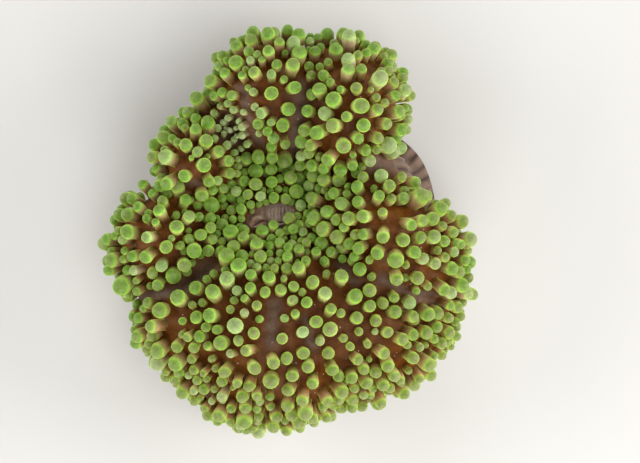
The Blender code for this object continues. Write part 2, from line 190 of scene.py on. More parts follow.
# %% How far the disc, the lips and the foot reach
OUTLINE_BLEND = 0.6 * MM
FOOT_RADIUS = 10.9 * MM
FOOT_STRETCH = 1.9 * MM
FOOT_STRETCH_TOWARDS = radians(22)
FOOT_WAVE = 0.3 * MM
FOOT_WAVES = ((3, 1.0, 1), (7, 0.6, 0), (11, 0.4, 2))


def reach_of_ellipse(direction, lobe):
    """How far from the mouth the far side of one lobe lies, or None where it isn't met."""
    centre_x, centre_y, half_x, half_y = (value * MM for value in lobe)
    from_x, from_y = (MOUTH.x - centre_x) / half_x, (MOUTH.y - centre_y) / half_y
    along_x, along_y = cos(direction) / half_x, sin(direction) / half_y
    square = along_x**2 + along_y**2
    middle = from_x * along_x + from_y * along_y
    under_root = middle**2 - square * (from_x**2 + from_y**2 - 1)
    if under_root <= 0:
        return None
    far = (-middle + sqrt(under_root)) / square
    return far if far > 0 else None


def disc_reach(direction):
    met = [reach_of_ellipse(direction, lobe) for lobe in OUTLINE_LOBES.values()]
    reach = blend_max([far for far in met if far], OUTLINE_BLEND)
    for towards, depth, half in NOTCHES.values():
        reach *= 1 - depth * bump(turn_between(degrees(direction), towards), half)
    return reach


def mouth_reach(direction):
    angle = direction - MOUTH_TURN
    return 1 / hypot(cos(angle) / MOUTH_HALF_LENGTH, sin(angle) / MOUTH_HALF_WIDTH)


def foot_reach(direction):
    stretch = FOOT_STRETCH * cos(direction - FOOT_STRETCH_TOWARDS)
    return FOOT_RADIUS + stretch + FOOT_WAVE * waves_at(direction, FOOT_WAVES)


widest = max(disc_reach(radians(angle)) for angle in range(0, 360, 5))
print("the disc reaches at most %.1f mm from the mouth" % (widest / MM))

# %% [markdown]
# ## The disc as a surface
#
# Height comes next. Each hump is a shallow paraboloid, and the highest one wins with a soft blend.
# Swells raise or lower it a little, and the ground of the bare furrows is lifted, so that it shows
# between the tentacles beside it. Towards the edge the surface rolls over like a cushion. A point
# on the disc is then named by two numbers: its direction from the mouth, and its share of the way
# out.

# %% Furrows, humps and points of the disc
FURROW_RISE = 0.3 * MM
FURROW_SWAY = 0.3 * MM
FURROW_SWAY_SIZE = 1.6 * MM
HUMP_BLEND = 0.8 * MM
HUMP_FALL = 0.45
EDGE_POWER = 0.5
LEAST_CROWN = 2 * MM
NORMAL_STEP = 0.02  # as a share of the way out
NORMAL_TURN = 0.6  # of that step, in radians round the mouth
LAST_SHARE = 0.999


def furrow_at(x, y):
    """1 along the middle of a bare furrow, 0 away from all of them."""
    strongest = 0.0
    sway = FURROW_SWAY * noise.noise(Vector((x, y, 0)) / FURROW_SWAY_SIZE)
    for start_x, start_y, end_x, end_y, half in FURROWS.values():
        along_x, along_y = (end_x - start_x) * MM, (end_y - start_y) * MM
        from_x, from_y = x + sway - start_x * MM, y + sway - start_y * MM
        share = (from_x * along_x + from_y * along_y) / (along_x**2 + along_y**2)
        share = max(0.0, min(1.0, share))
        off = hypot(from_x - share * along_x, from_y - share * along_y)
        strongest = max(strongest, bump(off, half * MM))
    return strongest


def spot_at(x, y):
    """1 in the middle of a bare spot, 0 away from all of them."""
    return max(bump_round(x, y, *spot) for spot in BARE_SPOTS.values())


def hump_height(x, y):
    heights = []
    for centre_x, centre_y, half_x, half_y, height in HUMPS.values():
        away = ((x / MM - centre_x) / half_x) ** 2 + ((y / MM - centre_y) / half_y) ** 2
        heights.append(height * MM * (1 - HUMP_FALL * away))
    height = blend_max(heights, HUMP_BLEND) + FURROW_RISE * furrow_at(x, y)
    for *spot, added in SWELLS.values():
        height += added * MM * bump_round(x, y, *spot)
    return height


def rim_height(direction):
    height = RIM_HEIGHT + RIM_WAVE * waves_at(direction, RIM_WAVES)
    for towards, lift, half in RIM_LIFTS.values():
        height += lift * MM * bump(turn_between(degrees(direction), towards), half)
    return height


def disc_point(direction, share):
    """A point of the disc: share 0 at the mouth's lips, 1 at the edge."""
    near, far = mouth_reach(direction), disc_reach(direction)
    place = MOUTH + polar(direction, near + (far - near) * sin(share * pi / 2))
    rim = rim_height(direction)
    crown = hump_height(place.x, place.y)
    crown += max(0.0, rim + LEAST_CROWN - crown) * share**2
    place.z = rim + (crown - rim) * cos(share * pi / 2) ** EDGE_POWER
    return place


def disc_normal(direction, share):
    """The way the disc faces there, from four points close by."""
    aside = NORMAL_STEP * NORMAL_TURN
    inner, outer = max(0.0, share - NORMAL_STEP), min(LAST_SHARE, share + NORMAL_STEP)
    outwards = disc_point(direction, outer) - disc_point(direction, inner)
    across = disc_point(direction + aside, share) - disc_point(direction - aside, share)
    return outwards.cross(across).normalized()


print("height at the lower hump: %.1f mm" % (disc_point(radians(270), 0.4).z / MM))

# %% [markdown]
# ## Where the tentacles stand
#
# A few tentacles stand out, such as the giants beside the notch, so they are placed first, by name.
# The others follow the living animal, where tentacles grow in rows that run out from the mouth,
# each row over one chamber of the gut. New rows start farther out, where there is room. Every row
# is walked from the mouth to the edge in short steps over the real surface, so that slopes get as
# many tentacles as level parts, and a step with room gets one. The bare furrows stay empty, and a
# few patches are more open or more crowded than the rest. Beads grow outwards from the mouth, some
# patches have larger ones, and small ones fill the gaps.

# %% How large a bead is at a place
SEED = 7
BEAD_NEAR = 0.62 * MM
BEAD_FAR = 0.70 * MM
BEAD_GROWS_FROM = 2.5 * MM
BEAD_GROWS_OVER = 8.0 * MM
PATCH_SIZE = 3.2 * MM
PATCH_SLICE = 4.7  # which slice of the noise the patches are cut from
PATCH_STRENGTH = 0.22
PALE_CLUSTER = Vector((-7.5, 8.6)) * MM
PALE_RADIUS = 2.5 * MM
PALE_BEADS = (0.27 * MM, 0.46 * MM)  # in its middle, and where it ends
PALE_BEAD_SPREAD = (0.8, 1.2)
PALE_CLOSENESS = 1.2
PALE_NOTCH = Vector((7.0, 5.3)) * MM
PALE_NOTCH_RADIUS = 1.85 * MM
PALE_NOTCH_SHARE = 0.32
BEAD_SHARES = (0.66, 0.85, 0.95, 1.0, 1.05, 1.12, 1.25)


def patchiness(x, y):
    """A slow random change over the disc, about -1 to 1."""
    return noise.noise(Vector((x / PATCH_SIZE, y / PATCH_SIZE, PATCH_SLICE)))


def in_pale_cluster(place):
    """1 in the middle of the cluster of small pale tentacles, 0 where it ends and beyond."""
    return max(0.0, 1 - (place.xy - PALE_CLUSTER).length / PALE_RADIUS)


def bead_radius(place, chance):
    clustered = in_pale_cluster(place)
    if clustered:
        small, large = PALE_BEADS
        return (large + (small - large) * clustered) * chance.uniform(*PALE_BEAD_SPREAD)
    grown = min(1.0, max(0.0, (from_mouth(place) - BEAD_GROWS_FROM) / BEAD_GROWS_OVER))
    size = BEAD_NEAR + (BEAD_FAR - BEAD_NEAR) * grown
    size *= 1 + PATCH_STRENGTH * patchiness(place.x, place.y)
    return size * chance.choice(BEAD_SHARES)


print("bead radius grows from %.2f to %.2f mm" % (BEAD_NEAR / MM, BEAD_FAR / MM))

# %% Tentacles that stand out by size or place
LANDMARKS = {  # x, y and bead radius in millimetres
    "notch_giant": (6.9, 7.0, 0.98),
    "notch_twin": (7.5, 6.1, 0.8),
    "notch_single": (6.9, 3.6, 0.76),
    "upper_right_outer": (6.2, 12.6, 0.95),
    "upper_right_inner": (4.6, 10.6, 0.92),
    "upper_left": (-6.8, 14.6, 0.85),
    "left_oval": (-10.2, 1.2, 0.9),
    "left_outer": (-13.2, 5.4, 0.85),
    "left_inner": (-10.8, 5.0, 0.8),
    "left_top": (-12.0, 6.5, 0.74),
    "left_top_outer": (-13.7, 7.0, 0.84),
    "left_top_inner": (-10.6, 6.7, 0.78),
    "left_low": (-12.0, 4.1, 0.7),
    "west_giant": (-17.8, -6.3, 1.1),
    "west_outer": (-17.0, -1.8, 0.85),
    "west_inner": (-11.6, -3.2, 0.85),
    "south_west": (-14.2, -9.4, 0.9),
    "south": (-3.8, -15.6, 0.9),
    "mouth_upper": (-0.6, 4.0, 0.85),
    "mouth_near": (-1.6, 2.2, 0.8),
    "mouth_right": (1.2, -0.6, 0.78),
    "mouth_below": (-3.7, -1.9, 0.58),
    "mouth_below_right": (-2.4, -1.7, 0.54),
}


def share_at(direction, radius):
    """The share of the way out at which the disc is this far from the mouth."""
    near, far = mouth_reach(direction), disc_reach(direction)
    part = max(0.0, min(LAST_SHARE, (radius - near) / (far - near)))
    return atan2(part, sqrt(1 - part**2)) / (pi / 2)


class Grove:
    """The tentacles so far, as roots with a bead radius, and a test for room beside them."""

    def __init__(self, cell):
        self.cell = cell
        self.squares = {}
        self.roots = []

    def square_of(self, place):
        return (int(place.x // self.cell), int(place.y // self.cell))

    def has_room(self, place, bead, closeness):
        across, down = self.square_of(place)
        for near_across in (across - 1, across, across + 1):
            for near_down in (down - 1, down, down + 1):
                for other, other_bead in self.squares.get((near_across, near_down), ()):
                    if (place - other).length < closeness * (bead + other_bead):
                        return False
        return True

    def add(self, direction, share, place, bead):
        self.squares.setdefault(self.square_of(place), []).append((place, bead))
        self.roots.append((direction, share, place, bead))


GROVE_CELL = 2.4 * MM  # more than any two beads' radii together
grove = Grove(GROVE_CELL)
for x, y, bead in LANDMARKS.values():
    direction = atan2(y * MM - MOUTH.y, x * MM - MOUTH.x)
    share = share_at(direction, hypot(x * MM - MOUTH.x, y * MM - MOUTH.y))
    grove.add(direction, share, disc_point(direction, share), bead * MM)
print(len(grove.roots), "landmark tentacles")

# %% Rows that run out from the mouth, then small tentacles in the gaps
ROWS = 96
ROW_STARTS = {0: 0.42 * MM, 2: 3.0 * MM, 1: 8.2 * MM, 3: 8.2 * MM}
ROW_STARTS_SPREAD = 0.35 * MM
ROW_STEP = 0.1 * MM
ROW_STEP_SHARE = 0.2  # of a bead's radius
SHARE_STEP = 0.004
ROW_SWAY = 0.3 * MM
BARE = 0.45
CLOSENESS = (0.80, 0.86)  # near the mouth, and farther out
CLOSENESS_SHARE = 0.4  # of the way out, where the second one starts
CLOSENESS_FILLS = 0.96
SPARSE = {  # x, y, radius, added to how far apart the roots stay
    "south": (-2.6, -10.8, 4.2, 0.27),
    "south_east": (5.4, -8.4, 4.0, 0.2),
    "upper": (0.5, 14.6, 4.0, 0.12),
    "left": (-11.6, 5.4, 3.4, -0.14),
    "upper_right": (3.6, 8.8, 2.4, -0.14),
    "west": (-12.4, -2.4, 2.6, -0.12),
    "middle": (-3.4, -4.6, 4.4, -0.1),
    "above_mouth": (-3.8, 3.0, 3.2, -0.08),
}
FILL_TRIES = 1500
FILL_SIZE = 0.75
FILL_START = 0.02  # of the way out


def is_bare(place):
    """Furrows and bare spots have no tentacles, except in the cluster of small pale ones."""
    bareness = max(furrow_at(place.x, place.y), spot_at(place.x, place.y))
    return bareness > BARE and not in_pale_cluster(place)


def closeness_at(share, place):
    """How far apart two roots stay, in the sum of their beads' radii."""
    if in_pale_cluster(place):
        return PALE_CLOSENESS
    apart = CLOSENESS[0] + (CLOSENESS[1] - CLOSENESS[0]) * min(1.0, share / CLOSENESS_SHARE)
    for *spot, added in SPARSE.values():
        apart += added * bump_round(place.x, place.y, *spot)
    return apart


def walk_row(direction, start, chance):
    """Try a tentacle at every step from the lips outwards; only those with room stay."""
    first = mouth_reach(direction) + start + chance.uniform(0, ROW_STARTS_SPREAD)
    share = share_at(direction, first)
    while share < 1:
        reached = disc_point(direction, share)
        here = direction + chance.gauss(0, ROW_SWAY) / ((reached - MOUTH).xy.length + MM)
        place = disc_point(here, share)
        bead = bead_radius(place, chance)
        if not is_bare(place) and grove.has_room(place, bead, closeness_at(share, place)):
            grove.add(here, share, place, bead)
        step = ROW_STEP + ROW_STEP_SHARE * bead
        while share < 1 and (disc_point(direction, share) - reached).length < step:
            share += SHARE_STEP


chance = random.Random(SEED)
for beat in (0, 2, 1, 3):
    for row in range(beat, ROWS, 4):
        walk_row(2 * pi * row / ROWS, ROW_STARTS[beat], chance)
in_rows = len(grove.roots)
for _ in range(FILL_TRIES):
    direction = chance.uniform(0, 2 * pi)
    share = chance.uniform(FILL_START, 1.0)
    place = disc_point(direction, share)
    bead = bead_radius(place, chance) * FILL_SIZE
    room = closeness_at(share, place) * CLOSENESS_FILLS
    if not is_bare(place) and grove.has_room(place, bead, room):
        grove.add(direction, share, place, bead)
print(in_rows, "tentacles in rows,", len(grove.roots) - in_rows, "small ones between them")

# %% [markdown]
# ## One skin from throat to foot
#
# An anemone is a single bag of skin: it runs out of the throat over the lips, across the disc, over
# the edge, down the column and under the foot. So it is made the same way, as one circle of edges
# in the throat that is extruded ring by ring. Each ring only says where its points go. Lengthwise
# folds run down the column, with rows of small warts under the edge, and the skin swells a little
# round the root of every tentacle.

# %% The rings of the skin
SLICES = 640
LIP_RINGS = 22
DISC_RINGS = 70
EDGE_RINGS = 7
WALL_RINGS = 34
EDGE_ROLL = 0.8 * MM
EDGE_ROLL_ANGLE = radians(125)
EDGE_ROLL_LEAST = radians(35)
FOOT_LIP = 0.5 * MM
EDGE_ROLL_OVER = 0.8 * MM  # how softly the roll ends where the column stands out beyond the edge
FOOT_RINGS = (0.1, 0.2, 0.3, 0.5, 0.75, 1.0)
FOOT_TURN = 0.3  # the part of the foot's rings that turns from the column to the flat underside
FOOT_CLOSED = 0.9  # how far in the last ring lies; one face closes the rest
WAIST = 0.84
WAIST_LOW = 1.3  # more than 1 keeps the waist in the lower part of the column
FLARE_POWER = 2.4
RIDGES = 72  # a whole number, so that they meet where the circle closes
RIDGE_HEIGHT = 0.16 * MM
RIDGE_FADE = 0.4  # how fast the ridges fade in at the foot and at the edge
RIDGE_SHARPNESS = 0.8
RIDGE_SWAY = 3
RIDGE_STRENGTH = (0.15, 0.8)  # everywhere, and how far it varies from patch to patch
RIDGE_SHARE = (0.4, 0.6)  # of regular ridges everywhere, and more where the column is folded
UNEVEN_LESS = 0.5  # where the column is folded
UNEVEN_SHARE = 0.3
CREASE_SHARE = 0.5
COLUMN_NOISE = {  # how fine it is round the column, how fine up it, and where it starts
    "sway": (2.5, 1.6, 0),
    "strength": (3.5, 2, 1.5),
    "uneven": (15, 1.2, 0),
    "crease": (5, 9, 0),
}
FOLDED = (20, 24, 0.9)  # direction and half angle in degrees, and how much stronger the folds are
LIP_HEIGHT = 0.42 * MM
LIP_ROUNDNESS = 0.4  # the lower, the flatter the top of the lips and the steeper their sides
LIP_OPENS = 0.8  # below 1, the rings are wider apart near the slit
LIP_SLIT = (0.80, 0.02)  # the slit's length and width as shares of the mouth's
SLIT_LOW = 0.68 * MM
LIP_CREASE = -0.65 * MM  # where a crease across the mouth parts the round fold from the pleats
LIP_CREASE_HALF = 0.2 * MM
LIP_CREASE_DEPTH = 0.7  # of the lips' height
LIP_BEND = 0.11 / MM
FOLD_FROM_CREASE = 0.85 * MM
FOLD_RING = 0.48 * MM
FOLD_RING_HALF = 0.5 * FOLD_RING
FOLD_HEIGHT = 0.4 * MM
RING_STRENGTH = 1.3
WRINKLE_SIZE = 0.45 * MM
WRINKLE_STRENGTH = 2.2
PLEAT_WIDTH = 0.36 * MM
PLEAT_HEIGHT = 0.07 * MM
PLEAT_SLANT = 0.25
PLEAT_SWAY = 3
PLEATS_START_OVER = 0.15 * MM
PLEATS_FADE = 2.5
THROAT_DEPTH = 0.25 * MM
THROAT_SHARE = 0.2


def lip_place(direction, share):
    """Where a point of the lips lies along and across the mouth; the lips start at the slit."""
    out = max(0.0, (share - THROAT_SHARE) / (1 - THROAT_SHARE)) ** LIP_OPENS
    reach = mouth_reach(direction)
    along, across = reach * cos(direction - MOUTH_TURN), reach * sin(direction - MOUTH_TURN)
    low = SLIT_LOW * step_up(along - LIP_CREASE, LIP_CREASE_HALF) * (1 - out)
    return (along * (LIP_SLIT[0] + (1 - LIP_SLIT[0]) * out),
            across * (LIP_SLIT[1] + (1 - LIP_SLIT[1]) * out) - low, out)


def lip_fold(along, across):
    """The raised ring of the round fold on the left part, 0 to 1."""
    from_middle = hypot(along - LIP_CREASE + FOLD_FROM_CREASE, across)
    return bump(from_middle - FOLD_RING, FOLD_RING_HALF)


def lip_pleat(direction, share):
    """Pleats across the lips, about -1 to 1: regular on the right part, wrinkled on the left."""
    along, across, out = lip_place(direction, share)
    wrinkle = noise.noise(Vector((along, across, 0)) / WRINKLE_SIZE)
    regular = step_up(along - LIP_CREASE, PLEATS_START_OVER)
    turns = 2 * pi * (along - PLEAT_SLANT * across) / PLEAT_WIDTH
    pleat = (0.5 + wrinkle) * sin(turns + PLEAT_SWAY * wrinkle)
    ringed = WRINKLE_STRENGTH * wrinkle + RING_STRENGTH * (lip_fold(along, across) - 0.5)
    return (pleat * regular + ringed * (1 - regular)) * min(1.0, PLEATS_FADE * sin(pi * out))


def lip_point(direction, share):
    """From the throat, share 0, over the lips to the disc, share 1."""
    along, across, out = lip_place(direction, share)
    creased = 1 - LIP_CREASE_DEPTH * bump(along - LIP_CREASE, LIP_CREASE_HALF)
    swell = LIP_HEIGHT * sin(pi * out) ** LIP_ROUNDNESS * creased
    fold = FOLD_HEIGHT * lip_fold(along, across) * out**0.5
    swell += PLEAT_HEIGHT * lip_pleat(direction, share) + fold
    dive = THROAT_DEPTH * max(0.0, 1 - share / THROAT_SHARE)
    bent = Vector((along, across - LIP_BEND * along**2 * (1 - out), 0))
    place = MOUTH + Matrix.Rotation(MOUTH_TURN, 3, "Z") @ bent
    place.z = disc_point(direction, 0.0).z + swell - dive
    return place


def roll_angle(direction):
    """The edge rolls right over, except where the column stands out beyond it."""
    beyond = step_up(foot_reach(direction) - disc_reach(direction), EDGE_ROLL_OVER)
    return EDGE_ROLL_ANGLE + (EDGE_ROLL_LEAST - EDGE_ROLL_ANGLE) * beyond


def edge_point(direction, roll):
    """Round the edge of the disc, from its upper side, roll 0, to where the column starts, 1."""
    angle = roll * roll_angle(direction)
    place = MOUTH + polar(direction, disc_reach(direction) - EDGE_ROLL * (1 - cos(angle)))
    place.z = rim_height(direction) - EDGE_ROLL * sin(angle)
    return place


def column_noise(name, direction, rise):
    """One of the column's noises, read on a circle, so that it meets where the circle closes."""
    around = Vector((cos(direction), sin(direction), 0))
    fine_round, fine_up, start = COLUMN_NOISE[name]
    return noise.noise(fine_round * around + Vector((0, 0, start + fine_up * rise)))


def ridge_at(direction, rise):
    """Soft folds down the column, about -1 to 1, in some patches strong, in others hardly there."""
    everywhere, varies = RIDGE_STRENGTH
    folded = bump(turn_between(degrees(direction), FOLDED[0]), FOLDED[1])
    strength = max(0.0, everywhere + varies * column_noise("strength", direction, rise))
    strength += FOLDED[2] * folded
    sway = RIDGE_SWAY * column_noise("sway", direction, rise)
    regular = 2 * abs(sin(RIDGES / 2 * direction + sway)) ** RIDGE_SHARPNESS - 1
    uneven = 2 * column_noise("uneven", direction, rise)
    both = (RIDGE_SHARE[0] + RIDGE_SHARE[1] * folded) * regular
    both += (1 - UNEVEN_LESS * folded) * uneven
    crease = CREASE_SHARE * column_noise("crease", direction, rise)
    return min(1.0, strength) * both + UNEVEN_SHARE * uneven + crease


def wall_point(direction, drop):
    """Down the column: drop 0 under the edge of the disc, 1 on the foot."""
    rise = 1 - drop
    top = edge_point(direction, 1.0)
    waist = foot_reach(direction) * (1 - (1 - WAIST) * sin(pi * min(1, rise * WAIST_LOW)))
    share = rise**FLARE_POWER
    ridge = RIDGE_HEIGHT * ridge_at(direction, rise) * sin(pi * drop) ** RIDGE_FADE
    radius = waist + (from_mouth(top) - waist) * share + ridge
    return MOUTH * share + polar(direction, radius, FOOT_LIP + (top.z - FOOT_LIP) * rise)


def foot_point(direction, inwards):
    """From the outside of the foot, inwards 0, to near its middle, 1."""
    radius = foot_reach(direction)
    if inwards < FOOT_TURN:
        angle = inwards / FOOT_TURN * pi / 2
        return polar(direction, radius - FOOT_LIP * (1 - cos(angle)), FOOT_LIP * (1 - sin(angle)))
    flat_share = (inwards - FOOT_TURN) / (1 - FOOT_TURN)
    return polar(direction, (radius - FOOT_LIP) * (1.0 - flat_share * FOOT_CLOSED))


def steps(count, first=0):
    return [index / count for index in range(first, count + 1)]


skin_rings = [("lips", share, lip_point) for share in steps(LIP_RINGS)]
skin_rings += [("disc", share, disc_point) for share in steps(DISC_RINGS, 1)]
skin_rings += [("edge", roll, edge_point) for roll in steps(EDGE_RINGS, 1)]
skin_rings += [("wall", drop, wall_point) for drop in steps(WALL_RINGS, 1)]
skin_rings += [("foot", inwards, foot_point) for inwards in FOOT_RINGS]
print(len(skin_rings), "rings of", SLICES, "points")

# %% Small warts in rows under the edge
def tree_of(places):
    """A tree that finds which of the places lie near a point."""
    tree = kdtree.KDTree(len(places))
    for index, place in enumerate(places):
        tree.insert(place, index)
    tree.balance()
    return tree


WART_ROWS = 40
WART_RISES = (0.48, 0.6, 0.71, 0.81, 0.9)
WART_ROW_SWAY = 0.3
WART_RISE_SWAY = 0.04
WART_RADIUS = 0.3 * MM
WART_HEIGHT = 0.2 * MM
warts = []
wart_chance = random.Random(SEED)
for row in range(WART_ROWS):
    for rise in WART_RISES:
        direction = 2 * pi * (row + wart_chance.uniform(-WART_ROW_SWAY, WART_ROW_SWAY)) / WART_ROWS
        drop = 1 - rise + wart_chance.uniform(-WART_RISE_SWAY, WART_RISE_SWAY)
        if abs(turn_between(degrees(direction), FOLDED[0])) > FOLDED[1]:
            warts.append(wall_point(direction, drop))
wart_tree = tree_of(warts)
print(len(warts), "warts")

# %% Extrude the skin ring by ring
EDGE_SMOOTHING = 24
SMOOTH_FROM = 0.95  # of the way out over the disc
SMOOTH_TO = 0.3  # of the way down the column


def near_edge(zone, share):
    """Whether a ring lies where the disc turns over into the column."""
    if zone == "disc":
        return share > SMOOTH_FROM
    return zone == "edge" or (zone == "wall" and share < SMOOTH_TO)


def numbered_circle(mesh, number_of, count, radius):
    """A new mesh's first ring, with its points numbered in one of the mesh's layers."""
    circle = bmesh.ops.create_circle(mesh, segments=count, radius=radius)
    for index, vert in enumerate(circle["verts"]):
        vert[number_of] = index
    return mesh.verts[:], mesh.edges[:]


def extrude_ring(mesh, edges):
    """The points and edges of a new ring, joined by faces to the last one."""
    grown = bmesh.ops.extrude_edge_only(mesh, edges=edges)["geom"]
    return [[item for item in grown if isinstance(item, kind)]
            for kind in (bmesh.types.BMVert, bmesh.types.BMEdge)]


skin_mesh = bmesh.new()
slice_of = skin_mesh.verts.layers.int.new("slice")
ring_of = skin_mesh.verts.layers.int.new("ring")
ring, open_edges = numbered_circle(skin_mesh, slice_of, SLICES, MM)
for index, (zone, share, point_at) in enumerate(skin_rings):
    if index:
        ring, open_edges = extrude_ring(skin_mesh, open_edges)
    for vert in ring:
        vert[ring_of] = index
        vert.co = point_at(2 * pi * vert[slice_of] / SLICES, share)
edge_verts = [vert for vert in skin_mesh.verts if near_edge(*skin_rings[vert[ring_of]][:2])]
for _ in range(EDGE_SMOOTHING):
    bmesh.ops.smooth_vert(skin_mesh, verts=edge_verts, factor=0.5,
                          use_axis_x=True, use_axis_y=True, use_axis_z=True)
bmesh.ops.holes_fill(skin_mesh, edges=[edge for edge in skin_mesh.edges if edge.is_boundary])
bmesh.ops.recalc_face_normals(skin_mesh, faces=skin_mesh.faces[:])
print(len(skin_mesh.faces), "faces in the skin")

# %% Tell the skin what lies where, and swell it round the roots
SWELL = 0.34
SWELL_REACH = 1.25
SWELL_SEARCH = 2.2 * MM
CLUSTER_GROUND = 2  # how soon the ground turns as pale as a furrow inside the cluster
root_tree = tree_of([place for _, _, place, _ in grove.roots])


def swelling(place):
    """How strongly the nearest root swells the skin here, 0 to 1, and that root's bead radius."""
    strongest, owner = 0.0, 0.0
    for _, index, distance in root_tree.find_range(place, SWELL_SEARCH):
        bead = grove.roots[index][3]
        strength = bump(distance, SWELL_REACH * bead)
        if strength > strongest:
            strongest, owner = strength, bead
    return strongest, owner


masks = {name: skin_mesh.verts.layers.float.new(name)
         for name in ("lips", "pleat", "furrow", "spot", "root", "column")}
skin_mesh.normal_update()
for vert in skin_mesh.verts:
    zone, share, _ = skin_rings[vert[ring_of]]
    vert[masks["lips"]] = 1.0 if zone == "lips" else 0.0
    vert[masks["column"]] = {"wall": 1.0, "foot": 1.0, "edge": share}.get(zone, 0.0)
    direction = 2 * pi * vert[slice_of] / SLICES
    # The pleat mask holds how high each pleat and fold stands; the skin's finish paints shade into
    # its troughs and highlight onto its crests.
    if zone == "lips":
        vert[masks["pleat"]] = 0.5 + 0.5 * lip_pleat(direction, share)
        vert[masks["spot"]] = step_up(LIP_CREASE - lip_place(direction, share)[0], LIP_CREASE_HALF)
    elif zone == "wall":
        vert[masks["pleat"]] = 0.5 + 0.5 * ridge_at(direction, 1 - share)
        vert[masks["spot"]] = bump(wart_tree.find(vert.co)[2], WART_RADIUS)
        vert.co += vert.normal * WART_HEIGHT * vert[masks["spot"]]
    if zone in ("disc", "edge"):
        clustered = min(1.0, CLUSTER_GROUND * in_pale_cluster(vert.co))
        vert[masks["furrow"]] = max(furrow_at(vert.co.x, vert.co.y), clustered)
        vert[masks["spot"]] = spot_at(vert.co.x, vert.co.y)
        strength, bead = swelling(vert.co)
        vert[masks["root"]] = strength
        vert.co += vert.normal * SWELL * strength * bead
print("skin swells round", len(grove.roots), "roots")

# %% Lay the skin out flat for its colours, and make it an object
def past_seam(numbers, count):
    """A face's numbers on a ring of that many points, counted on where it crosses the seam."""
    crosses_seam = max(numbers) - min(numbers) > count / 2
    return [number + (count if crosses_seam and number < count / 2 else 0) for number in numbers]


def add_object(name, data):
    thing = bpy.data.objects.new(name, data)
    bpy.context.scene.collection.objects.link(thing)
    return thing


def finish_mesh(made, name, smooth=True):
    data = bpy.data.meshes.new(name)
    made.to_mesh(data)
    made.free()
    if smooth:
        data.shade_smooth()
    return add_object(name, data)


flat = skin_mesh.loops.layers.uv.new("OFBake")
for face in skin_mesh.faces:
    slices = past_seam([loop.vert[slice_of] for loop in face.loops], SLICES)
    for loop, here in zip(face.loops, slices):
        loop[flat].uv = (here / SLICES, loop.vert[ring_of] / (len(skin_rings) - 1))
skin = finish_mesh(skin_mesh, "skin")
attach(skin, "root")
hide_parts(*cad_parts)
print("skin:", len(skin.data.polygons), "faces")

# %% [markdown]
# ## One tentacle, then all of them
#
# A tentacle is a short stalk that widens into a round bead. Hundreds of them could be instances,
# but joined meshes keep their bends and their colours when the model leaves this program. One
# coarse cage is extruded from a six-sided circle. Its height is counted in two units: up to 1 is
# the stalk, whatever its length, and above 1 the height is in bead radii, so that beads stay round.
# The middle of the bead lies at 2. A smoothed surface lies inside its cage, so the cage is a bit
# wider.

# %% The cage of one tentacle
SIDES = 6
CAGE_RINGS = [  # height, radius in bead radii
    (-0.20, 1.23), (0.06, 1.06), (0.42, 0.89), (0.95, 0.89),
    (1.45, 1.04), (2.00, 1.14), (2.58, 0.93), (2.95, 0.51),
]
CAGE_TIP = 3.06
STALK_SHARE = 0.45


def cage_along(height):
    """How far up the tentacle a height is, 0 at the root and 1 at the tip."""
    if height <= 1:
        return max(0.0, height) * STALK_SHARE
    return STALK_SHARE + (height - 1) / (CAGE_TIP - 1) * (1 - STALK_SHARE)


cage = bmesh.new()
corner_of = cage.verts.layers.int.new("corner")
ring, open_edges = numbered_circle(cage, corner_of, SIDES, CAGE_RINGS[0][1])
for vert in ring:
    vert.co.z = CAGE_RINGS[0][0]
bmesh.ops.contextual_create(cage, geom=open_edges)
for (_, narrow), (height, wide) in zip(CAGE_RINGS, CAGE_RINGS[1:]):
    ring, open_edges = extrude_ring(cage, open_edges)
    for vert in ring:
        vert.co.z = height
    bmesh.ops.scale(cage, verts=ring, vec=(wide / narrow, wide / narrow, 1))
lid = bmesh.ops.contextual_create(cage, geom=open_edges)["faces"]
tip = bmesh.ops.poke(cage, faces=lid)["verts"][0]
tip.co.z = CAGE_TIP
bmesh.ops.recalc_face_normals(cage, faces=cage.faces[:])
cage_uv = cage.loops.layers.uv.new("OFBake")
for face in cage.faces:
    ringed = [loop.vert for loop in face.loops if loop.vert is not tip]
    corners = past_seam([vert[corner_of] for vert in ringed], SIDES)
    across = dict(zip(ringed, corners))
    across[tip] = sum(corners) / len(corners)
    for loop in face.loops:
        loop[cage_uv].uv = (across[loop.vert] / SIDES, cage_along(loop.vert.co.z))
cage_mesh = bpy.data.meshes.new("tentacle_cage")
cage.to_mesh(cage_mesh)
cage.free()
print("the cage has", len(cage_mesh.polygons), "faces")

# %% Which way a tentacle leans, and how long it is
LEAN_OUT = 0.26
LEAN_TURNS_AT = 0.42
LEAN_TURNS_OVER = 0.3
LEAN_STARTS_OVER = 0.09
LEAN_UP_NEAR = 0.45
LEAN_UP_FAR = 0.95
LEAN_SWAY = 0.15
LANDMARK_LEAN_UP = 0.8  # how much more upright the landmarks stand
STALK_NEAR = 0.8 * MM
STALK_FAR = 0.95 * MM
STALK_SWAY = 0.32
STALK_BY_BEAD = (0.55, 0.45)  # for every bead, and more for larger ones


class Tentacle:
    """Where it is rooted, which way it leaves the skin, and where the middle of its bead is."""

    def __init__(self, root, leaves, lean, stalk, bead):
        self.root, self.leaves, self.bead = root, leaves, bead
        self.reach = stalk + bead
        self.head = root + lean.normalized() * self.reach


